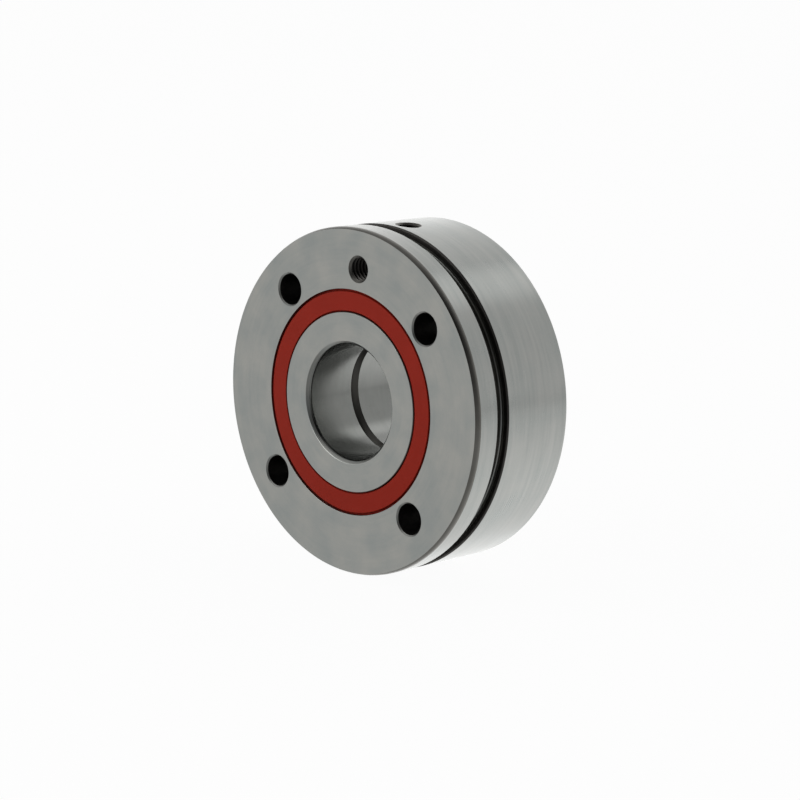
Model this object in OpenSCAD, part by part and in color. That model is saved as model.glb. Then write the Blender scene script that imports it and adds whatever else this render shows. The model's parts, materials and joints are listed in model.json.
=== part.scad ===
// Double-row axial angular contact ball bearing for screw mounting.
// The axis lies along Y, the flange face with the tapped port looks towards -Y, and +Z is up.
// The origin is on the axis, in the plane where the two halves of the inner ring meet.
// Profiles are drawn as (radius, distance from that plane towards the front face).

/* [Envelope] */
// Bore of the inner ring
bore_d = 25; // [15:0.5:29]
// Outside diameter of the outer ring
outer_d = 75; // [72:0.5:100]
// Width over the two faces
width = 28; // [26:0.5:40]
// Chamfer of the bore at the two faces
bore_chamfer = 0.8; // [0.2:0.1:1.5]
// Chamfer of the bore on each half where the halves meet
split_chamfer = 1.1; // [0.2:0.1:1.5]
// Axial length of the rounding on the front rim
front_rim_depth = 1.36; // [0.6:0.02:2.5]
// Radial drop of the rounding on the front rim
front_rim_drop = 0.44; // [0.2:0.02:0.8]
// Chamfer of the rear rim
rear_rim_chamfer = 0.4; // [0.1:0.1:1]

/* [Balls and raceways] */
// Ball diameter
ball_d = 6.35; // [5:0.05:7]
// Diameter of the circle through the ball centres
pitch_d = 42; // [38:0.5:43]
// Distance between the planes of the two rows
row_spacing = 10; // [9:0.1:11]
// Contact angle, measured from the radial plane
contact_angle = 60; // [50:1:68]
// Radius of a raceway as a part of the ball diameter
conformity = 0.52; // [0.51:0.005:0.55]
// Running gap between a ball and each raceway
running_gap = 0.05; // [0.02:0.01:0.06]
// Relief between a raceway and the plain land beside it
race_relief = 0.13; // [0.05:0.01:0.3]
// Drop of the inner ring's shoulder below the pitch circle
shoulder_drop = 0.75; // [0.4:0.05:1.5]
// Rise of the outer ring's middle rib above the pitch circle
rib_rise = 0.4; // [0.2:0.05:1.2]

/* [Cages] */
// Narrowest bar between two pockets
cage_bar = 1.1; // [0.8:0.05:1.6]
// Gap between a ball and its pocket
pocket_gap = 0.12; // [0.05:0.01:0.2]
// Gap between a cage and the rings
cage_gap = 0.4; // [0.2:0.05:0.6]
// Axial reach of the conical web on each side of a row
cage_cone_reach = 2.6; // [2:0.1:3]
// Gap between the two cages
cage_split_gap = 1; // [0.4:0.1:1.4]
// Gap between a cage and the seal in front of it
cage_seal_gap = 0.7; // [0.3:0.1:1]

/* [Seals] */
// Diameter of the land under the seal lip
seal_land_d = 38.8; // [36:0.1:40]
// Depth of the seal below the face
seal_recess = 0.35; // [0.1:0.05:0.6]
// Thickness of the seal
seal_thickness = 2.6; // [2.2:0.1:2.8]
// Gap of the seal in its counterbore
seal_fit = 0.03; // [0.01:0.01:0.06]
// Gap between the seal lip and its land
lip_gap = 0.05; // [0.02:0.01:0.15]
// Height of the bead that holds the seal
bead_height = 0.3; // [0.15:0.05:0.4]
// Width of the groove for the bead
bead_groove_w = 1.2; // [0.8:0.1:1.6]
// Distance from the face to the middle of the bead groove
bead_offset = 1.75; // [1.5:0.05:2]
// Bevel on the edges of the seal
seal_bevel = 0.3; // [0.1:0.05:0.5]
// Sheet thickness of the seal's steel stiffener
stiffener_t = 0.5; // [0.3:0.05:0.7]
// Length of the stiffener's flange
stiffener_flange = 1.5; // [0.9:0.1:1.8]
// Rubber left outside the stiffener
stiffener_cover = 0.9; // [0.6:0.1:1.2]
// Length of the bare rubber lip inside the stiffener
lip_length = 1.6; // [1:0.1:2]
// Gap of the bond between the rubber and the stiffener
bond_gap = 0.02; // [0.01:0.01:0.04]

/* [Bolt holes] */
// Number of bolt holes
bolt_count = 4; // [3:1:8]
// Diameter of the bolt circle
bolt_circle_d = 58; // [57:0.5:62]
// Diameter of a bolt hole
bolt_hole_d = 6.8; // [4.5:0.1:7.4]
// Chamfer of a bolt hole at both faces
bolt_chamfer = 0.3; // [0.1:0.05:0.35]

/* [Extraction slot] */
// Width of the slot
slot_w = 3; // [2:0.1:4]
// Depth of the slot
slot_depth = 1.9; // [1:0.1:2.5]
// Distance from the front face to the middle of the slot
slot_offset = 8; // [5:0.1:8.4]
// Chamfer of the slot's edges
slot_chamfer = 0.3; // [0.1:0.05:0.5]

/* [Lubrication ports] */
// Thread size of both ports
port_d = 6; // [5:0.5:6.5]
// Core diameter behind the thread of the axial port
port_core_d = 5; // [3:0.1:5]
// Thread depth of the axial port
axial_port_depth = 10; // [9.5:0.1:12]
// Thread depth of the radial port
radial_port_depth = 8; // [7.5:0.1:9]
// Diameter of the duct from the ports to the rib between the rows
duct_d = 2.5; // [1:0.1:3]
// Reach of the axial port past the duct
core_reach = 2; // [1:0.1:4]
// Depth of the plug below the mouth of the radial port
plug_recess = 3; // [1:0.1:3.5]
// Length of the plug
plug_length = 4; // [3:0.1:4.5]
// Gap of the plug in its thread
plug_fit = 0.05; // [0.02:0.01:0.1]
// Width across the flats of the plug's socket
plug_key = 3; // [2:0.5:3]
// Depth of the plug's socket
plug_key_depth = 2; // [1:0.1:2.5]
// Chamfer of the plug's ends
plug_chamfer = 0.5; // [0.2:0.1:0.8]

/* [Hidden] */
$fn = 96;
overcut = 1;
half_w = width / 2;
bore_r = bore_d / 2;
outer_r = outer_d / 2;
ball_r = ball_d / 2;
pitch_r = pitch_d / 2;
row_a = row_spacing / 2;
bolt_r = bolt_hole_d / 2;
bolt_circle_r = bolt_circle_d / 2;

// Raceways: the groove's centre lies on the contact line, past the ball's centre
groove_r = conformity * ball_d;
groove_shift = groove_r - ball_r - running_gap;
groove_dr = groove_shift * cos(contact_angle);
groove_da = groove_shift * sin(contact_angle);
outer_groove = [pitch_r - groove_dr, row_a + groove_da];
inner_groove = [pitch_r + groove_dr, row_a - groove_da];
counterbore_r = outer_groove[0] + groove_r + race_relief;
land_r = inner_groove[0] - groove_r - race_relief;
rib_r = pitch_r + rib_rise;
rib_half_w = outer_groove[1] - sqrt(pow(groove_r, 2) - pow(rib_r - outer_groove[0], 2));
shoulder_r = pitch_r - shoulder_drop;
shoulder_a = inner_groove[1] + sqrt(pow(groove_r, 2) - pow(inner_groove[0] - shoulder_r, 2));

// Seals: from the outer ring's counterbore down to the land of the inner ring
seal_face_a = half_w - seal_recess;
seal_back_a = seal_face_a - seal_thickness;
seal_outer_r = counterbore_r - seal_fit;
seal_land_r = seal_land_d / 2;
seal_lip_r = seal_land_r + lip_gap;
bead_a = half_w - bead_offset;
stiffener_outer_r = seal_outer_r - stiffener_cover;
stiffener_inner_r = seal_lip_r + lip_length;

// Balls and cages: as many balls as leave the bar between their pockets
pocket_r = ball_r + pocket_gap;
ball_count = floor(180 / asin((2 * pocket_r + cage_bar) / pitch_d));
ball_step = 360 / ball_count;
rear_row_turn = ball_step / 2;
cage_inner_a = cage_split_gap / 2;
cage_outer_a = seal_back_a - cage_seal_gap;

// Ports: both stand midway between two bolt holes, at the top
port_r = port_d / 2;
port_angle = 90;
first_bolt_angle = port_angle + 180 / bolt_count;
plug_r = port_r - plug_fit;
rim_round_r = (pow(front_rim_depth, 2) + pow(front_rim_drop, 2)) / (2 * front_rim_drop);
slot_a = half_w - slot_offset;

steel = [0.58, 0.59, 0.58];
ground_steel = [0.68, 0.69, 0.68];
ball_steel = [0.80, 0.81, 0.82];
sheet_steel = [0.45, 0.46, 0.48];
black_steel = [0.16, 0.16, 0.17];
red_rubber = [0.53, 0.15, 0.12];
polyamide = [0.86, 0.80, 0.66];

function two_digits(i) = i < 10 ? str("0", i) : str(i);
function ball_name(row, i) = str(row, "_ball_", two_digits(i));

// Turns a (radius, distance) profile round the bearing's axis
module turned() {
    rotate([90, 0, 0])
        rotate_extrude()
            children();
}

// Stands a shape drawn along +Z on the axis, pointing to the front, at a radius and an angle
module facing_front(radius, angle) {
    rotate([90, 0, 0])
        rotate(angle)
            translate([radius, 0, 0])
                children();
}

// The rear half of the bearing repeats the front half
module to_rear() {
    mirror([0, 1, 0])
        children();
}

// Plain rectangle between two radii and two distances
module band(r1, r2, a1, a2) {
    translate([r1, a1])
        square([r2 - r1, a2 - a1]);
}

// Right-angled corner that cuts an edge at 45 degrees
module corner_cut(r, a, size) {
    translate([r, a])
        rotate(45)
            square(size * sqrt(2), center = true);
}

// Counterbore, raceway and bead groove on one side of the outer ring
module outer_ring_side_cut() {
    band(0, counterbore_r, outer_groove[1], half_w + overcut);
    translate(outer_groove)
        circle(groove_r);
    band(0, counterbore_r + bead_height, bead_a - bead_groove_w / 2, bead_a + bead_groove_w / 2);
}

// Rounding of the front rim, tangent to the outside
module front_rim_cut() {
    centre_r = outer_r - rim_round_r;
    difference() {
        band(centre_r, outer_r + overcut, half_w - front_rim_depth, half_w + overcut);
        translate([centre_r, half_w - front_rim_depth])
            circle(rim_round_r);
    }
}

module slot_cut() {
    band(outer_r - slot_depth, outer_r + overcut, slot_a - slot_w / 2, slot_a + slot_w / 2);
    for (side = [-1, 1])
        corner_cut(outer_r, slot_a + side * slot_w / 2, slot_chamfer);
}

module outer_ring_profile() {
    difference() {
        band(rib_r, outer_r, -half_w, half_w);
        outer_ring_side_cut();
        mirror([0, 1])
            outer_ring_side_cut();
        front_rim_cut();
        corner_cut(outer_r, -half_w, rear_rim_chamfer);
        slot_cut();
    }
}

// One through hole with a chamfer at each face
module bolt_hole() {
    cylinder(r = bolt_r, h = width + 2 * overcut, center = true);
    for (side = [0, 1])
        mirror([0, 0, side])
            translate([0, 0, half_w - bolt_chamfer])
                cylinder(r1 = bolt_r, r2 = bolt_r + bolt_chamfer + overcut, h = bolt_chamfer + overcut);
}

// Tapped port in the front face, with its core drilled past the duct
module axial_port() {
    translate([0, 0, half_w - axial_port_depth])
        cylinder(r = port_r, h = axial_port_depth + overcut);
    translate([0, 0, -core_reach])
        cylinder(d = port_core_d, h = half_w - axial_port_depth + core_reach + overcut);
}

// Tapped port in the outside, with the duct down to the rib between the rows
module radial_port() {
    rotate([0, 90 - port_angle, 0]) {
        translate([0, 0, outer_r - radial_port_depth])
            cylinder(r = port_r, h = radial_port_depth + overcut);
        translate([0, 0, rib_r - overcut])
            cylinder(d = duct_d, h = outer_r - radial_port_depth - rib_r + 2 * overcut);
    }
}

module outer_ring() {
    color(steel)
        difference() {
            turned()
                outer_ring_profile();
            for (i = [1:bolt_count])
                facing_front(bolt_circle_r, first_bolt_angle + i * 360 / bolt_count)
                    bolt_hole();
            facing_front(bolt_circle_r, port_angle)
                axial_port();
            radial_port();
        }
}

// One half of the split inner ring: plain land, raceway, shoulder and seal land
module inner_ring_half() {
    turned()
        difference() {
            union() {
                band(bore_r, land_r, 0, half_w);
                band(bore_r, shoulder_r, inner_groove[1], seal_back_a);
                band(bore_r, seal_land_r, seal_back_a, half_w);
            }
            translate(inner_groove)
                circle(groove_r);
            corner_cut(bore_r, half_w, bore_chamfer);
            corner_cut(bore_r, 0, split_chamfer);
            corner_cut(seal_land_r, half_w, seal_bevel);
        }
}

module inner_ring_front() {
    color(ground_steel)
        inner_ring_half();
}

module inner_ring_rear() {
    color(ground_steel)
        to_rear()
            inner_ring_half();
}

// Section of a cage: an inner rim, a conical web through the ball centres and an outer rim
module cage_profile() {
    polygon([
        [land_r + cage_gap, cage_inner_a],
        [rib_r - cage_gap, cage_inner_a],
        [rib_r - cage_gap, rib_half_w],
        [counterbore_r - cage_gap, row_a + cage_cone_reach],
        [counterbore_r - cage_gap, cage_outer_a],
        [shoulder_r + cage_gap, cage_outer_a],
        [shoulder_r + cage_gap, shoulder_a],
        [land_r + cage_gap, row_a - cage_cone_reach]
    ]);
}

// Window cage with a ball-shaped pocket for each ball
module cage(row_turn) {
    difference() {
        turned()
            cage_profile();
        for (i = [1:ball_count])
            facing_front(pitch_r, port_angle + row_turn + i * ball_step)
                translate([0, 0, row_a])
                    rotate([0, 90, 0])
                        sphere(pocket_r);
    }
}

module front_cage() {
    color(polyamide)
        cage(0);
}

module rear_cage() {
    color(polyamide)
        to_rear()
            cage(rear_row_turn);
}

module ball(row_turn, i) {
    facing_front(pitch_r, port_angle + row_turn + i * ball_step)
        translate([0, 0, row_a])
            sphere(ball_r);
}

module front_ball(i) {
    color(ball_steel)
        ball(0, i);
}

module rear_ball(i) {
    color(ball_steel)
        to_rear()
            ball(rear_row_turn, i);
}

// Section of the pressed steel stiffener, grown by the gap of the bond where it is cut out
module stiffener_profile(gap) {
    band(stiffener_inner_r - gap, stiffener_outer_r + gap, seal_back_a, seal_back_a + stiffener_t + gap);
    band(
        stiffener_outer_r - stiffener_t - gap,
        stiffener_outer_r + gap,
        seal_back_a,
        seal_back_a + stiffener_flange + gap
    );
}

// Rubber seal: a flat ring with a bead in the groove and a lip on the inner ring's land
module seal() {
    bead_w = bead_groove_w - 2 * seal_fit;
    turned()
        difference() {
            union() {
                band(seal_lip_r, seal_outer_r, seal_back_a, seal_face_a);
                band(seal_lip_r, seal_outer_r + bead_height, bead_a - bead_w / 2, bead_a + bead_w / 2);
            }
            stiffener_profile(bond_gap);
            band(0, stiffener_inner_r, 0, seal_back_a + stiffener_t);
            corner_cut(seal_lip_r, seal_back_a + stiffener_t, seal_bevel);
            corner_cut(seal_lip_r, seal_face_a, seal_bevel);
            corner_cut(seal_outer_r, seal_face_a, seal_bevel);
            corner_cut(seal_outer_r, seal_back_a, seal_bevel);
        }
}

module seal_stiffener() {
    turned()
        stiffener_profile(0);
}

module front_seal() {
    color(red_rubber)
        seal();
}

module rear_seal() {
    color(red_rubber)
        to_rear()
            seal();
}

module front_seal_stiffener() {
    color(sheet_steel)
        seal_stiffener();
}

module rear_seal_stiffener() {
    color(sheet_steel)
        to_rear()
            seal_stiffener();
}

// Threaded plug with a hexagon socket in its top end, drawn from its top at zero downwards
module plug() {
    difference() {
        rotate_extrude()
            difference() {
                band(0, plug_r, -plug_length, 0);
                corner_cut(plug_r, 0, plug_chamfer);
                corner_cut(plug_r, -plug_length, plug_chamfer);
            }
        translate([0, 0, -plug_key_depth])
            cylinder(d = plug_key / cos(30), h = plug_key_depth + overcut, $fn = 6);
    }
}

module radial_port_plug() {
    color(black_steel)
        rotate([0, 90 - port_angle, 0])
            translate([0, 0, outer_r - plug_recess])
                plug();
}

outer_ring();
inner_ring_front();
inner_ring_rear();
front_cage();
rear_cage();
front_seal();
rear_seal();
front_seal_stiffener();
rear_seal_stiffener();
radial_port_plug();
for (i = [1:ball_count]) {
    front_ball(i);
    rear_ball(i);
}
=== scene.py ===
# Double-row axial angular contact ball bearing for screw mounting, seen as a studio picture.
# The bearing's axis lies along Y, and the face with the tapped lubrication port looks towards -Y.
# Outlines are drawn as (radius, distance from the middle plane towards that face), in metres.
import json
import math

import bmesh
import bpy
from mathutils import Matrix, Vector


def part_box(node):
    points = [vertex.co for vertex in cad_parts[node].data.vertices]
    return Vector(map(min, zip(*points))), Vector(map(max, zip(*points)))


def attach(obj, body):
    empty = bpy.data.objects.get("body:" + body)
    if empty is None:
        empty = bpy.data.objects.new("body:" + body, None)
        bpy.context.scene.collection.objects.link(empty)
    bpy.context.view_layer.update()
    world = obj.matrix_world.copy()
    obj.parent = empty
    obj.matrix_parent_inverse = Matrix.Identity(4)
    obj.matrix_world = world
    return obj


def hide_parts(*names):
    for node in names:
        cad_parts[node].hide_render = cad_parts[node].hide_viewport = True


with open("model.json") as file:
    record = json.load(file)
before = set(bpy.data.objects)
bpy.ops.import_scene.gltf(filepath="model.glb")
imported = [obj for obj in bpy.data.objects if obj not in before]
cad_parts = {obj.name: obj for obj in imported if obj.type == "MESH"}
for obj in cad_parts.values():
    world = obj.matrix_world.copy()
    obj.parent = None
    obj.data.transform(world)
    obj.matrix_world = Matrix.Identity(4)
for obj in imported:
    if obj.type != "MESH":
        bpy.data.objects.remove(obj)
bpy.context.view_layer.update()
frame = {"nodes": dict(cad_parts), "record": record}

# Outer ring: one thick ring of hardened bearing steel, turned and drilled, then ground on its
# faces, its outside and its two raceways. Four screws hold it to a machine wall, the slot round
# its outside takes the claws of a puller, and two tapped ports lead grease in between the rows.
mm = 0.001
mounts = {mount["name"]: mount["dims"] for mount in frame["record"]["mounts"]}
outer_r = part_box("outer_ring")[1].x
half_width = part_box("outer_ring")[1].y
ball_low, ball_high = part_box("front_ball_17")
ball_r = (ball_high.x - ball_low.x) / 2
pitch_r = (ball_high.z + ball_low.z) / 2
row_distance = -(ball_high.y + ball_low.y) / 2
contact_angle = math.radians(60)
running_gap = 0.05 * mm
race_relief = 0.13 * mm
conformity = 0.52
groove_r = conformity * 2 * ball_r
groove_shift = groove_r - ball_r - running_gap
groove_dr = groove_shift * math.cos(contact_angle)
groove_da = groove_shift * math.sin(contact_angle)
outer_groove = (pitch_r - groove_dr, row_distance + groove_da)
counterbore_r = outer_groove[0] + groove_r + race_relief
rib_rise = 0.4 * mm
rib_r = pitch_r + rib_rise
bead_offset = 1.75 * mm
bead_distance = half_width - bead_offset
bead_height = 0.3 * mm
bead_groove_w = 1.2 * mm
rim_depth = 1.36 * mm
rim_drop = 0.44 * mm
rear_chamfer = 0.4 * mm
slot_offset = 8 * mm
slot_w = 3 * mm
slot_depth = 1.9 * mm
slot_chamfer = 0.3 * mm
slot_root_round = 0.35 * mm
edge_break = 0.06 * mm
bolt_chamfer = 0.3 * mm
port_r = mounts["axial_lubrication_port"]["r_mm"] * mm
axial_port_depth = mounts["axial_lubrication_port"]["length_mm"] * mm
port_core_r = 2.5 * mm
port_core_end = -2 * mm
port_lead = 0.45 * mm
radial_port_depth = 8 * mm
duct_r = 1.25 * mm
overcut = 0.5 * mm
# Finishes of the rings are copies of one bearing steel. FACE and OUTSIDE are the ground steel. The turned
# and rough-cut copies have real rougher marks, and also a much darker base colour that is painted shade on
# rims, chamfers, slot walls, holes and threads.
FACE, OUTSIDE, TURNED_PAINTED_SHADE, ROUGH_CUT_PAINTED_SHADE, RACEWAY = range(5)


def arc(centre, radius, start, end, steps):
    """Points of an arc in an outline; angles in degrees, 0 is outwards and 90 towards the front."""
    angles = [math.radians(start + (end - start) * i / steps) for i in range(steps + 1)]
    return [(centre[0] + radius * math.cos(t), centre[1] + radius * math.sin(t)) for t in angles]


def eased(corners, steps=4, edge_share=0.45):
    """A closed outline of (radius, distance, finish) from corners that also give an edge rounding.

    A rounding takes at most edge_share of each edge beside it.
    """
    outline = []
    for i, (r, a, rounding, finish) in enumerate(corners):
        here = Vector((r, a))
        before = Vector(corners[i - 1][:2]) - here
        after = Vector(corners[(i + 1) % len(corners)][:2]) - here
        if rounding == 0:
            outline.append((r, a, finish))
            continue
        reach = rounding / math.tan(before.angle(after) / 2)
        reach = min(reach, edge_share * before.length, edge_share * after.length)
        start = here + before.normalized() * reach
        end = here + after.normalized() * reach
        for k in range(steps + 1):
            t = k / steps
            point = start * (1 - t) ** 2 + here * 2 * t * (1 - t) + end * t ** 2
            outline.append((point.x, point.y, finish))
    return outline


def finished_piece(name, mesh, materials):
    """An object in the scene that holds this mesh and these materials."""
    bmesh.ops.recalc_face_normals(mesh, faces=mesh.faces)
    data = bpy.data.meshes.new(name)
    mesh.to_mesh(data)
    mesh.free()
    for material in materials:
        data.materials.append(material)
    piece = bpy.data.objects.new(name, data)
    bpy.context.scene.collection.objects.link(piece)
    return piece


def turned_piece(name, outline, materials, steps=288):
    """A ring with this closed outline, turned round the bearing's axis."""
    mesh = bmesh.new()
    rings = []
    for k in range(steps):
        c, s = math.cos(2 * math.pi * k / steps), math.sin(2 * math.pi * k / steps)
        rings.append([mesh.verts.new((r * c, -a, r * s)) for r, a, finish in outline])
    for ring, following in zip(rings, rings[1:] + rings[:1]):
        for i, (r, a, finish) in enumerate(outline):
            j = (i + 1) % len(outline)
            face = mesh.faces.new((ring[i], ring[j], following[j], following[i]))
            face.material_index = finish
    return finished_piece(name, mesh, materials)


def add_drill(mesh, profile, place, steps=72):
    """Adds a drill's solid, (radius, height, finish) from its tip to its top, where place puts it."""
    angles = [2 * math.pi * k / steps for k in range(steps)]
    rings = []
    for r, h, finish in profile:
        spots = [Vector((r * math.cos(t), r * math.sin(t), h)) for t in angles]
        rings.append([mesh.verts.new(place @ spot) for spot in spots])
    for end in (rings[0], rings[-1]):
        # The drill's ends leave the dark rough-cut copy of the steel, which is painted shade at the bottom
        # of a hole.
        mesh.faces.new(end).material_index = ROUGH_CUT_PAINTED_SHADE
    for low, high, (r, h, finish) in zip(rings, rings[1:], profile):
        for k in range(steps):
            n = (k + 1) % steps
            mesh.faces.new((low[k], low[n], high[n], high[k])).material_index = finish


def cut_by(piece, tool):
    """Takes the tool's solid out of the piece and removes the tool."""
    cut = piece.modifiers.new("cut", "BOOLEAN")
    cut.operation = "DIFFERENCE"
    cut.solver = "EXACT"
    cut.object = tool
    evaluated = piece.evaluated_get(bpy.context.evaluated_depsgraph_get())
    result = bpy.data.meshes.new_from_object(evaluated)
    piece.modifiers.clear()
    piece.data = result
    bpy.data.objects.remove(tool)


def smooth_to_edges(piece, sharpest=math.radians(32)):
    """Smooth shading that keeps flat faces flat up to their edges."""
    piece.data.shade_smooth()
    piece.data.set_sharp_from_angle(angle=sharpest)
    weighted = piece.modifiers.new("flat_faces_lead", "WEIGHTED_NORMAL")
    weighted.mode = "FACE_AREA"
    weighted.weight = 100
    weighted.keep_sharp = True


def add_node(tree, kind, inputs=(), **settings):
    """A shader node with these settings, and its inputs set or linked."""
    made = tree.nodes.new(kind)
    for key, value in settings.items():
        setattr(made, key, value)
    for socket, value in dict(inputs).items():
        if isinstance(value, bpy.types.NodeSocket):
            tree.links.new(value, made.inputs[socket])
        else:
            made.inputs[socket].default_value = value
    return made


def new_material(name):
    """An empty node material: its tree, its main shader and the piece's own coordinates."""
    material = bpy.data.materials.new(name)
    material.use_nodes = True
    tree = material.node_tree
    coords = tree.nodes.new("ShaderNodeTexCoord").outputs["Object"]
    return material, tree, tree.nodes["Principled BSDF"], coords


octave_share = 0.55


def noise(tree, coords, width, detail=3, stretch=1):
    """Soft patches about this wide and stretched along the axis, from 0 to 1."""
    spot = add_node(tree, "ShaderNodeVectorMath", {0: coords, 1: (1, 1 / stretch, 1)}, operation="MULTIPLY")
    settings = {"Vector": spot.outputs[0], "Scale": 1 / width, "Detail": detail, "Roughness": octave_share}
    return add_node(tree, "ShaderNodeTexNoise", settings).outputs["Fac"]


def tool_marks(tree, coords, width, per_radian):
    """Fine marks this wide that run round the axis, from 0 to 1, with so many of them per radian."""
    flat = add_node(tree, "ShaderNodeVectorMath", {0: coords, 1: (1, 0, 1)}, operation="MULTIPLY").outputs[0]
    radius = add_node(tree, "ShaderNodeVectorMath", {0: flat}, operation="LENGTH").outputs["Value"]
    around = add_node(tree, "ShaderNodeVectorMath", {0: flat}, operation="NORMALIZE").outputs[0]
    slow = add_node(tree, "ShaderNodeVectorMath", {0: around, "Scale": per_radian}, operation="SCALE")
    slow = add_node(tree, "ShaderNodeSeparateXYZ", {0: slow.outputs[0]})
    along = add_node(tree, "ShaderNodeSeparateXYZ", {0: coords}).outputs["Y"]
    across = add_node(tree, "ShaderNodeMath", {0: radius, 1: 1 / width}, operation="MULTIPLY").outputs[0]
    depth = add_node(tree, "ShaderNodeMath", {0: along, 1: 1 / width}, operation="MULTIPLY").outputs[0]
    spot = add_node(tree, "ShaderNodeCombineXYZ", {0: slow.outputs["X"], 1: slow.outputs["Z"], 2: across})
    settings = {"Vector": spot.outputs[0], "W": depth, "Scale": 1, "Detail": 2, "Roughness": octave_share}
    return add_node(tree, "ShaderNodeTexNoise", settings, noise_dimensions="4D").outputs["Fac"]


noise_low = 0.3
noise_high = 0.7


def spread(tree, value, low, high):
    """Stretches the range that most of a noise lies in over low to high."""
    limits = {"Value": value, "From Min": noise_low, "From Max": noise_high, "To Min": low, "To Max": high}
    return add_node(tree, "ShaderNodeMapRange", limits).outputs["Result"]


def two_tones(tree, value, dark, light):
    """A colour that goes from dark to light with the value."""
    tones = {"Factor": value, "A": (*dark, 1), "B": (*light, 1)}
    return add_node(tree, "ShaderNodeMix", tones, data_type="RGBA").outputs["Result"]


marks_per_radian = 5
streak_width = 0.9 * mm
streaks_per_radian = 2.5
patch_width = 7 * mm
patch_detail = 6
patch_stretch = 1.8
tint_overshoot = 0.25
roughness_swing = 0.15


def worked_steel(name, dark, light, roughness, mark_width, mark_depth, streaky=0.25, across=0):
    """Bearing steel with tool marks and a share of streaks round the axis, blurred across them."""
    material, tree, shader, coords = new_material(name)
    marks = tool_marks(tree, coords, mark_width, marks_per_radian)
    streaks = tool_marks(tree, coords, streak_width, streaks_per_radian)
    patches = noise(tree, coords, patch_width, patch_detail, patch_stretch)
    cloudy = add_node(tree, "ShaderNodeMix", {"Factor": streaky, "A": patches, "B": streaks}).outputs[0]
    tint = two_tones(tree, spread(tree, cloudy, -tint_overshoot, 1 + tint_overshoot), dark, light)
    uneven = add_node(tree, "ShaderNodeMath", {0: marks, 1: patches}, operation="ADD").outputs[0]
    uneven = add_node(tree, "ShaderNodeMath", {0: uneven, 1: 0.5}, operation="MULTIPLY").outputs[0]
    smoothest = roughness * (1 - roughness_swing)
    roughest = roughness * (1 + roughness_swing)
    bump = add_node(tree, "ShaderNodeBump", {"Strength": 0.5, "Distance": mark_depth, "Height": marks})
    tree.links.new(tint, shader.inputs["Base Color"])
    tree.links.new(spread(tree, uneven, smoothest, roughest), shader.inputs["Roughness"])
    tree.links.new(bump.outputs["Normal"], shader.inputs["Normal"])
    around = add_node(tree, "ShaderNodeTangent", direction_type="RADIAL", axis="Y")
    tree.links.new(around.outputs["Tangent"], shader.inputs["Tangent"])
    shader.inputs["Anisotropic"].default_value = across
    shader.inputs["Anisotropic Rotation"].default_value = 0.25  # a quarter turn
    shader.inputs["Metallic"].default_value = 1
    return material


ground_face = worked_steel(
    "ground_face",
    dark=(0.252, 0.266, 0.257),
    light=(0.306, 0.306, 0.287),
    roughness=0.34,
    mark_width=0.09 * mm,
    mark_depth=0.0012 * mm,
)
ground_outside = worked_steel(
    "ground_outside",
    dark=(0.272, 0.286, 0.275),
    light=(0.336, 0.340, 0.325),
    roughness=0.3,
    mark_width=0.09 * mm,
    mark_depth=0.0012 * mm,
    streaky=0.5,
    across=0.8,
)
# Painted shade: the turned steel is about half as bright as the ground steel and the rough-cut steel about a
# quarter, far darker than bare steel, to paint the shade of rims, recesses and holes. Their rougher marks
# and higher roughness are real.
turned_steel_painted_shade = worked_steel(
    "turned_steel_painted_shade",
    dark=(0.122, 0.119, 0.108),
    light=(0.151, 0.148, 0.137),
    roughness=0.36,
    mark_width=0.16 * mm,
    mark_depth=0.003 * mm,
)
rough_cut_steel_painted_shade = worked_steel(
    "rough_cut_steel_painted_shade",
    dark=(0.06, 0.058, 0.055),
    light=(0.09, 0.086, 0.08),
    roughness=0.45,
    mark_width=0.25 * mm,
    mark_depth=0.004 * mm,
)
raceway_steel = worked_steel(
    "raceway_steel",
    dark=(0.40, 0.41, 0.41),
    light=(0.43, 0.44, 0.44),
    roughness=0.12,
    mark_width=0.05 * mm,
    mark_depth=0.0003 * mm,
)
ring_finishes_and_shades = [ground_face, ground_outside, turned_steel_painted_shade, rough_cut_steel_painted_shade, raceway_steel]


def outer_ring_side():
    """Corners of the raceway, counterbore and bead groove, from the rib out to a face.

    A corner's finish is that of the face between it and the next corner.
    """
    rib_angle = -math.degrees(math.acos((rib_r - outer_groove[0]) / groove_r))
    race = [(r, a, 0, RACEWAY) for r, a in arc(outer_groove, groove_r, rib_angle, 0, steps=14)]
    low = bead_distance - bead_groove_w / 2
    high = bead_distance + bead_groove_w / 2
    return race + [
        (counterbore_r, outer_groove[1], 0, TURNED_PAINTED_SHADE),
        (counterbore_r, low, edge_break, TURNED_PAINTED_SHADE),
        (counterbore_r + bead_height, low, edge_break, TURNED_PAINTED_SHADE),
        (counterbore_r + bead_height, high, edge_break, TURNED_PAINTED_SHADE),
        (counterbore_r, high, edge_break, FACE),
        (counterbore_r, half_width, edge_break, FACE),
    ]


# The rounded rim at the front takes the darker turned copy of the steel, which is painted shade. The outside
# beyond it takes the ground steel.
rim_round_r = (rim_depth ** 2 + rim_drop ** 2) / (2 * rim_drop)
rim_centre = (outer_r - rim_round_r, half_width - rim_depth)
rim_angle = math.degrees(math.asin(rim_depth / rim_round_r))
rim = [(r, a, 0, TURNED_PAINTED_SHADE) for r, a in arc(rim_centre, rim_round_r, rim_angle, 0, steps=10)]
rim[-1] = (*rim[-1][:3], OUTSIDE)
slot_front = half_width - slot_offset + slot_w / 2
slot_rear = half_width - slot_offset - slot_w / 2
slot_floor_r = outer_r - slot_depth
slot_root_end_r = slot_floor_r + 2 * slot_root_round
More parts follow.
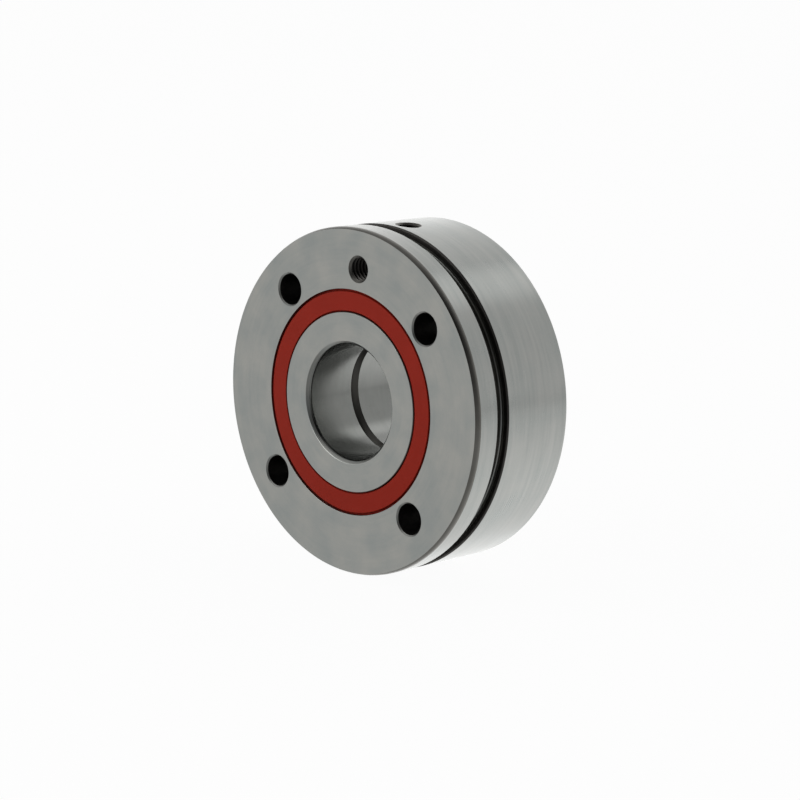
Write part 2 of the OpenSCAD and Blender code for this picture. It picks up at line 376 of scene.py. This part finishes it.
# The slot's chamfers, walls and floor take the darker turned and rough-cut copies of the steel, which is
# painted shade inside the slot. Its root rounding takes the lighter ground-face steel, so the bright line
# there is partly a real reflection and partly a painted highlight.
outside = [
    (outer_r, slot_front + slot_chamfer, edge_break, TURNED_PAINTED_SHADE),
    (outer_r - slot_chamfer, slot_front, edge_break, ROUGH_CUT_PAINTED_SHADE),
    (slot_floor_r, slot_front, slot_root_round, TURNED_PAINTED_SHADE),
    (slot_floor_r, slot_rear, slot_root_round, FACE),
    (slot_root_end_r, slot_rear, 0, ROUGH_CUT_PAINTED_SHADE),
    (outer_r - slot_chamfer, slot_rear, edge_break, ROUGH_CUT_PAINTED_SHADE),
    (outer_r, slot_rear - slot_chamfer, edge_break, OUTSIDE),
    (outer_r, rear_chamfer - half_width, edge_break, TURNED_PAINTED_SHADE),
    (outer_r - rear_chamfer, -half_width, edge_break, FACE),
]
# The rear side runs the other way round, so each of its corners takes the finish before it.
front_side = outer_ring_side()
back_finishes = [FACE] + [finish for r, a, rounding, finish in front_side[:-1]]
rear_side = [(r, -a, rounding, back) for (r, a, rounding, finish), back in zip(front_side, back_finishes)]
outer_ring_outline = eased(front_side + rim + outside + rear_side[::-1])
outer_ring = turned_piece("outer_ring_body", outer_ring_outline, ring_finishes_and_shades)

bolts = mounts["flange_bolts"]
bolt_r = bolts["hole_r_mm"] * mm
bolt_circle_r = bolts["pcd_mm"] / 2 * mm
bolt_flare_r = bolt_r + bolt_chamfer + overcut
port_flare_r = port_core_r + port_lead + overcut
# The drills leave their walls in the dark rough-cut copy of the steel, which is painted shade of the deep
# holes and ports. Their countersinks take ground-face or turned steel.
bolt_drill = [
    (bolt_flare_r, -half_width - overcut, FACE),
    (bolt_r, bolt_chamfer - half_width, ROUGH_CUT_PAINTED_SHADE),
    (bolt_r, half_width - bolt_chamfer, FACE),
    (bolt_flare_r, half_width + overcut, FACE),
]
port_drill = [
    (port_core_r, port_core_end, ROUGH_CUT_PAINTED_SHADE),
    (port_core_r, half_width - axial_port_depth, ROUGH_CUT_PAINTED_SHADE),
    (port_r, half_width - axial_port_depth, ROUGH_CUT_PAINTED_SHADE),
    (port_r, half_width - port_lead, ROUGH_CUT_PAINTED_SHADE),
    (port_core_r, half_width - port_lead, TURNED_PAINTED_SHADE),
    (port_flare_r, half_width + overcut, TURNED_PAINTED_SHADE),
]
duct_drill = [
    (duct_r, rib_r - overcut, ROUGH_CUT_PAINTED_SHADE),
    (duct_r, outer_r - radial_port_depth, ROUGH_CUT_PAINTED_SHADE),
    (port_r, outer_r - radial_port_depth, ROUGH_CUT_PAINTED_SHADE),
    (port_r, outer_r - port_lead, ROUGH_CUT_PAINTED_SHADE),
    (port_core_r, outer_r - port_lead, TURNED_PAINTED_SHADE),
    (port_flare_r, outer_r + overcut, TURNED_PAINTED_SHADE),
]
port_angle = math.pi / 2


def facing_front(angle):
    """The place on the bolt circle where a drill's height runs towards the front face."""
    stand = Vector((math.cos(angle), 0, math.sin(angle))) * bolt_circle_r
    return Matrix.Translation(stand) @ Matrix.Rotation(math.pi / 2, 4, "X")


drills = bmesh.new()
for k in range(bolts["count"]):
    bolt_angle = port_angle + (2 * k + 1) * math.pi / bolts["count"]
    add_drill(drills, bolt_drill, facing_front(bolt_angle))
add_drill(drills, port_drill, facing_front(port_angle))
cut_by(outer_ring, finished_piece("drills", drills, ring_finishes_and_shades))
# The duct runs into the axial port, so it is cut by itself.
duct = bmesh.new()
add_drill(duct, duct_drill, Matrix.Identity(4))
cut_by(outer_ring, finished_piece("duct", duct, ring_finishes_and_shades))
smooth_to_edges(outer_ring)
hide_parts("outer_ring")
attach(outer_ring, "outer_ring_unit")

# Threads of the two lubrication ports: metric M6 ridges left standing by the tap in the ring's
# own steel. They run out into the countersink at the mouth and at the bottom of the port.
thread_pitch = 1 * mm
thread_depth = 0.541 * thread_pitch
crest_r = port_r - thread_depth
root_half_w = 7 / 16 * thread_pitch
crest_half_w = 1 / 8 * thread_pitch
wall_bite = 0.03 * mm
thread_start = math.pi / 2
steps_per_turn = 60


def thread_ridge(name, place, mouth, bottom):
    """One helical ridge round local +Z, from the countersink of the mouth down to the bottom."""
    mesh = bmesh.new()
    cone_foot = mouth - port_lead
    top = cone_foot - wall_bite
    turns = (top - bottom) / thread_pitch
    count = int(turns * steps_per_turn)
    slope = (root_half_w - crest_half_w) / (port_r - crest_r)
    sections = []
    for k in range(count + 1):
        turns_in = k / steps_per_turn
        angle = thread_start + 2 * math.pi * turns_in
        h = top - thread_pitch * turns_in
        sunk = max(0, 1 - turns + turns_in)
        countersink_r = port_core_r + h + crest_half_w - cone_foot
        crest = max(countersink_r, crest_r + sunk * (port_r + wall_bite / 2 - crest_r))
        corners = [(port_r + wall_bite, 1), (crest, 1), (crest, -1), (port_r + wall_bite, -1)]
        section = []
        for r, side in corners:
            half_w = crest_half_w + slope * (r - crest_r)
            spot = Vector((r * math.cos(angle), r * math.sin(angle), h + side * half_w))
            section.append(mesh.verts.new(place @ spot))
        sections.append(section)
    for one, other in zip(sections, sections[1:]):
        for i in range(4):
            j = (i + 1) % 4
            mesh.faces.new((one[i], one[j], other[j], other[i]))
    mesh.faces.new(sections[0])
    mesh.faces.new(sections[-1])
    # The ridges take the dark rough-cut copy of the steel, which is painted shade inside the ports.
    ridge = finished_piece(name, mesh, [rough_cut_steel_painted_shade])
    smooth_to_edges(ridge)
    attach(ridge, "outer_ring_unit")


plug_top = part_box("radial_port_plug")[1].z
axial_port_floor = half_width - axial_port_depth
thread_ridge("axial_port_thread", facing_front(port_angle), half_width, axial_port_floor + root_half_w)
thread_ridge("radial_port_thread", Matrix.Identity(4), outer_r, plug_top + root_half_w)

# Radial port plug: a short threaded set screw of blackened steel with a hexagon socket. It closes
# the port that is not used, three millimetres below the outside.
black_steel, tree, shader, coords = new_material("black_steel")
patches = noise(tree, coords, width=0.6 * mm)
blackened = two_tones(tree, patches, dark=(0.03, 0.03, 0.032), light=(0.055, 0.053, 0.05))
tree.links.new(blackened, shader.inputs["Base Color"])
tree.links.new(spread(tree, patches, low=0.38, high=0.5), shader.inputs["Roughness"])
shader.inputs["Metallic"].default_value = 0.6


def refinish(name, material):
    """Gives a piece that keeps its own solid this material."""
    data = frame["nodes"][name].data
    data.materials.clear()
    data.materials.append(material)


refinish("radial_port_plug", black_steel)

# Inner ring: two like halves of bearing steel that the shaft nut clamps face to face. Each has
# a raceway and a shoulder, a ground land under the seal lip, and a chamfer at both ends of its bore.
bore_r = mounts["shaft_bore"]["r_mm"] * mm
bore_chamfer = 0.8 * mm
chamfer_round = 0.3 * mm
bore_round = 0.9 * mm
split_chamfer = 1.1 * mm
inner_groove = (pitch_r + groove_dr, row_distance - groove_da)
land_r = inner_groove[0] - groove_r - race_relief
shoulder_drop = 0.75 * mm
shoulder_r = pitch_r - shoulder_drop
seal_land_r = 19.4 * mm
seal_depth = 2.95 * mm
seal_back = half_width - seal_depth
land_bevel = 0.12 * mm
# Painted shade: the bore's ground steel is a darker copy of the face's, standing in for the dimmer light
# that it reflects inside the ring.
BORE_PAINTED_SHADE = len(ring_finishes_and_shades)
ground_bore_painted_shade = worked_steel(
    "ground_bore_painted_shade",
    dark=(0.168, 0.173, 0.164),
    light=(0.200, 0.204, 0.195),
    roughness=0.24,
    mark_width=0.07 * mm,
    mark_depth=0.0006 * mm,
)


def inner_ring_half(name, side):
    """One half of the inner ring, on the front side for 1 and on the rear side for -1."""
    shoulder_angle = math.degrees(math.acos((shoulder_r - inner_groove[0]) / groove_r))
    race = [(r, a, 0, RACEWAY) for r, a in arc(inner_groove, groove_r, 180, shoulder_angle, steps=16)]
    race[-1] = (*race[-1][:3], FACE)
    # The bore takes its darker copy of the steel, and the split chamfer, shoulder and land bevel take the
    # darker turned copy. Both are painted shade.
    corners = [
        (bore_r + split_chamfer, 0, edge_break, FACE),
        (land_r, 0, edge_break, FACE),
        (land_r, inner_groove[1], 0, TURNED_PAINTED_SHADE),
        *race,
        (shoulder_r, seal_back, edge_break, TURNED_PAINTED_SHADE),
        (seal_land_r, seal_back, edge_break, FACE),
        (seal_land_r, half_width - land_bevel, edge_break, TURNED_PAINTED_SHADE),
        (seal_land_r - land_bevel, half_width, edge_break, FACE),
        (bore_r + bore_chamfer, half_width, chamfer_round, FACE),
        (bore_r, half_width - bore_chamfer, bore_round, BORE_PAINTED_SHADE),
        (bore_r, split_chamfer, edge_break, TURNED_PAINTED_SHADE),
    ]
    corners = [(r, side * a, rounding, finish) for r, a, rounding, finish in corners]
    half = turned_piece(name + "_half", eased(corners), ring_finishes_and_shades + [ground_bore_painted_shade])
    smooth_to_edges(half)
    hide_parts(name)
    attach(half, "inner_ring")


inner_ring_half("inner_ring_front", 1)
inner_ring_half("inner_ring_rear", -1)

# Balls: two rows of polished bearing steel balls, seventeen in each, that roll between the
# raceways at sixty degrees to the radial plane.
polished_steel, tree, shader, coords = new_material("polished_steel")
haze = noise(tree, coords, width=1.5 * mm)
polish = two_tones(tree, haze, dark=(0.60, 0.61, 0.62), light=(0.66, 0.67, 0.68))
tree.links.new(polish, shader.inputs["Base Color"])
tree.links.new(spread(tree, haze, low=0.05, high=0.09), shader.inputs["Roughness"])
shader.inputs["Metallic"].default_value = 1
for name in frame["nodes"]:
    if "_ball_" in name:
        refinish(name, polished_steel)

# Cages: one moulded polyamide window cage for each row, with a ball-shaped pocket for each ball
# in a conical web.
polyamide, tree, shader, coords = new_material("polyamide")
flow = noise(tree, coords, width=3 * mm)
grain = noise(tree, coords, width=0.12 * mm)
amber = two_tones(tree, flow, dark=(0.60, 0.50, 0.31), light=(0.68, 0.59, 0.40))
tree.links.new(amber, shader.inputs["Base Color"])
tree.links.new(spread(tree, grain, low=0.42, high=0.55), shader.inputs["Roughness"])
bump = add_node(tree, "ShaderNodeBump", {"Strength": 0.3, "Distance": 0.01 * mm, "Height": grain})
tree.links.new(bump.outputs["Normal"], shader.inputs["Normal"])
for name in ("front_cage", "rear_cage"):
    refinish(name, polyamide)

# Seals: red moulded rubber rings, snapped by a bead into a groove of the outer ring. Each rubs with
# its lip on the land of the inner ring, and a pressed steel ring bonded to its back keeps it flat.
# Beside both rings the rubber steps down from its face, which leaves a narrow open groove.
seal_recess = 0.1 * mm
seal_face = half_width - seal_recess
seal_fit = 0.03 * mm
seal_outer_r = counterbore_r - seal_fit
lip_gap = 0.05 * mm
seal_lip_r = seal_land_r + lip_gap
edge_step = 0.56 * mm
edge_drop = 1 * mm
lip_step = 0.3 * mm
lip_drop = 0.7 * mm
step_round = 0.08 * mm
seal_bevel = 0.3 * mm
seal_round = 0.15 * mm
bead_half_w = bead_groove_w / 2 - seal_fit
lip_length = 1.6 * mm
sheet_t = 0.5 * mm
flange = 1.5 * mm
bond_gap = 0.02 * mm
sheet_outer_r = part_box("front_seal_stiffener")[1].x
sheet_inner_r = seal_lip_r + lip_length

red_rubber, tree, shader, coords = new_material("red_rubber")
cloud = noise(tree, coords, width=5 * mm)
grain = noise(tree, coords, width=0.2 * mm)
red = two_tones(tree, cloud, dark=(0.245, 0.0135, 0.0045), light=(0.285, 0.0155, 0.006))
tree.links.new(red, shader.inputs["Base Color"])
tree.links.new(spread(tree, grain, low=0.55, high=0.68), shader.inputs["Roughness"])
bump = add_node(tree, "ShaderNodeBump", {"Strength": 0.35, "Distance": 0.015 * mm, "Height": grain})
tree.links.new(bump.outputs["Normal"], shader.inputs["Normal"])
shader.inputs["Specular IOR Level"].default_value = 0.12

sheet_steel = worked_steel(
    "sheet_steel",
    dark=(0.40, 0.41, 0.42),
    light=(0.47, 0.48, 0.49),
    roughness=0.36,
    mark_width=0.3 * mm,
    mark_depth=0.002 * mm,
)


def seal(name, side):
    """One rubber seal, on the front side for 1 and on the rear side for -1."""
    corners = [
        (seal_lip_r + lip_step, seal_face, step_round),
        (seal_outer_r - edge_step, seal_face, step_round),
        (seal_outer_r - edge_step, seal_face - edge_drop, seal_round),
        (seal_outer_r, seal_face - edge_drop, seal_round),
        (seal_outer_r, bead_distance + bead_half_w, seal_round),
        (seal_outer_r + bead_height, bead_distance + bead_half_w, seal_round),
        (seal_outer_r + bead_height, bead_distance - bead_half_w, seal_round),
        (seal_outer_r, bead_distance - bead_half_w, seal_round),
        (seal_outer_r, seal_back + seal_bevel, seal_round),
        (seal_outer_r - seal_bevel, seal_back, seal_round),
        (sheet_outer_r + bond_gap, seal_back, 0),
        (sheet_outer_r + bond_gap, seal_back + flange + bond_gap, 0),
        (sheet_outer_r - sheet_t - bond_gap, seal_back + flange + bond_gap, 0),
        (sheet_outer_r - sheet_t - bond_gap, seal_back + sheet_t + bond_gap, 0),
        (sheet_inner_r - bond_gap, seal_back + sheet_t + bond_gap, 0),
        (sheet_inner_r - bond_gap, seal_back + sheet_t, 0),
        (seal_lip_r + seal_bevel, seal_back + sheet_t, seal_round),
        (seal_lip_r, seal_back + sheet_t + seal_bevel, seal_round),
        (seal_lip_r, seal_face - lip_drop, seal_round),
        (seal_lip_r + lip_step, seal_face - lip_drop, seal_round),
    ]
    corners = [(r, side * a, rounding, 0) for r, a, rounding in corners]
    ring = turned_piece(name + "_rubber", eased(corners), [red_rubber])
    smooth_to_edges(ring)
    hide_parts(name)
    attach(ring, "outer_ring_unit")
    refinish(name + "_stiffener", sheet_steel)


seal("front_seal", 1)
seal("rear_seal", -1)

# Camera: it stands to the right of the front face, a little above the axis, and is rolled a
# few degrees. The bearing's middle lies a little to the left of its axis and above it.
view_azimuth = math.radians(43.90)
view_elevation = math.radians(14.46)
view_roll = math.radians(4.61)
view_distance = 537.6 * mm
view_right = 1.16 * mm
view_up = -1.19 * mm
to_camera = Vector((
    math.sin(view_azimuth) * math.cos(view_elevation),
    -math.cos(view_azimuth) * math.cos(view_elevation),
    math.sin(view_elevation),
))
level_right = Vector((math.cos(view_azimuth), math.sin(view_azimuth), 0))
level_up = to_camera.cross(level_right)
right = math.cos(view_roll) * level_right + math.sin(view_roll) * level_up
up = math.cos(view_roll) * level_up - math.sin(view_roll) * level_right
camera = bpy.data.cameras.new("camera")
camera.sensor_width = 36
camera.lens = 111.465
camera_object = bpy.data.objects.new("camera", camera)
stand = view_distance * to_camera + view_right * right + view_up * up
turn = Matrix((right, up, to_camera)).transposed().to_4x4()
camera_object.matrix_world = Matrix.Translation(stand) @ turn
bpy.context.scene.collection.objects.link(camera_object)
bpy.context.scene.camera = camera_object
bpy.context.scene.view_settings.view_transform = "Standard"

# Studio: a plain pale floor under the bearing, a white backdrop behind it, a darker room behind
# the camera and one large soft lamp to the left of it. Each part of the room is a direction, the
# cosines from it at which the part begins and is full, and the light that it adds.
floor_half = 3.0
floor_grey = 0.88
glow_share = 0.96
floor_mesh = bmesh.new()
for x, y in ((-1, -1), (1, -1), (1, 1), (-1, 1)):
    floor_mesh.verts.new((x * floor_half, y * floor_half, -outer_r))
floor_mesh.faces.new(floor_mesh.verts)
floor_paint = bpy.data.materials.new("floor_paint")
floor_paint.use_nodes = True
tree = floor_paint.node_tree
tree.nodes.remove(tree.nodes["Principled BSDF"])
rays = tree.nodes.new("ShaderNodeLightPath").outputs
paint_colour = (floor_grey, floor_grey, floor_grey, 1)
paint = add_node(tree, "ShaderNodeBsdfDiffuse", {"Color": paint_colour}).outputs[0]
glow = add_node(tree, "ShaderNodeEmission", {"Color": (1, 1, 1, 1), "Strength": 1}).outputs[0]
clear = tree.nodes.new("ShaderNodeBsdfTransparent").outputs[0]
pale = add_node(tree, "ShaderNodeMixShader", {0: glow_share, 1: paint, 2: glow}).outputs[0]
lit = add_node(tree, "ShaderNodeMixShader", {0: rays["Is Camera Ray"], 1: paint, 2: pale}).outputs[0]
shown = add_node(tree, "ShaderNodeMixShader", {0: rays["Is Glossy Ray"], 1: lit, 2: clear}).outputs[0]
tree.links.new(shown, tree.nodes["Material Output"].inputs["Surface"])
finished_piece("floor", floor_mesh, [floor_paint])

room_level = 0.36
room_parts = (
    ((0, 1, 0), 0.3, 0.68, 0.68),  # backdrop
    ((-0.65, 0.7, -0.3), 0.75, 0.97, 0.5),  # bright left side of the backdrop
    ((0.076, 0.697, 0.713), 0.975, 0.997, 0.8),  # small lamp above the backdrop
    ((-0.4, 0.7, -0.6), 0.1, 0.7, 0.52),  # floor behind the bearing
    ((-0.67, -0.70, -0.245), 0.5, 0.9, 0.58),  # floor to the left of the camera
    ((0.86, 0, -0.5), 0.75, 0.93, 0.28),  # floor on the right
    ((-0.62, -0.10, 0.78), 0.62, 0.85, 0.2),  # pale ceiling on the left
    ((0.75, -0.05, 0.66), 0.72, 0.95, -0.22),  # dark ceiling on the right
    ((0.15, -0.65, 0.74), 0.6, 0.9, -0.26),  # dark ceiling above the camera
    ((0, 0, 1), -0.05, -0.01, -0.3),  # lower edge of a dark line along the horizon
    ((0, 0, 1), 0.01, 0.05, 0.3),  # upper edge of that line
)
world = bpy.data.worlds.new("studio")
bpy.context.scene.world = world
world.use_nodes = True
tree = world.node_tree
rays = tree.nodes.new("ShaderNodeLightPath").outputs
direction = tree.nodes.new("ShaderNodeTexCoord").outputs["Generated"]
level = add_node(tree, "ShaderNodeValue").outputs[0]
level.default_value = room_level
for middle, edge, full, gain in room_parts:
    towards = {0: direction, 1: Vector(middle).normalized()}
    near = add_node(tree, "ShaderNodeVectorMath", towards, operation="DOT_PRODUCT").outputs["Value"]
    limits = {"Value": near, "From Min": edge, "From Max": full, "To Min": 0, "To Max": gain}
    part = add_node(tree, "ShaderNodeMapRange", limits, interpolation_type="SMOOTHSTEP").outputs[0]
    level = add_node(tree, "ShaderNodeMath", {0: level, 1: part}, operation="ADD").outputs[0]
level = add_node(tree, "ShaderNodeMath", {0: level, 1: 0}, operation="MAXIMUM").outputs[0]
room_light = tree.nodes["Background"]
room_light.inputs["Color"].default_value = (1, 1, 1, 1)
tree.links.new(level, room_light.inputs["Strength"])
white = add_node(tree, "ShaderNodeBackground", {"Color": (1, 1, 1, 1), "Strength": 1}).outputs[0]
by_ray = {0: rays["Is Camera Ray"], 1: room_light.outputs[0], 2: white}
shown = add_node(tree, "ShaderNodeMixShader", by_ray).outputs[0]
tree.links.new(shown, tree.nodes["World Output"].inputs["Surface"])

lamp_stand = Vector((-0.35, -0.85, 0.45))
lamp = bpy.data.lights.new("soft_lamp", "AREA")
lamp.size = 0.7
lamp.energy = 4
lamp_object = bpy.data.objects.new("soft_lamp", lamp)
lamp_object.location = lamp_stand
lamp_object.rotation_mode = "QUATERNION"
lamp_object.rotation_quaternion = (-lamp_stand).to_track_quat("-Z", "Y")
bpy.context.scene.collection.objects.link(lamp_object)
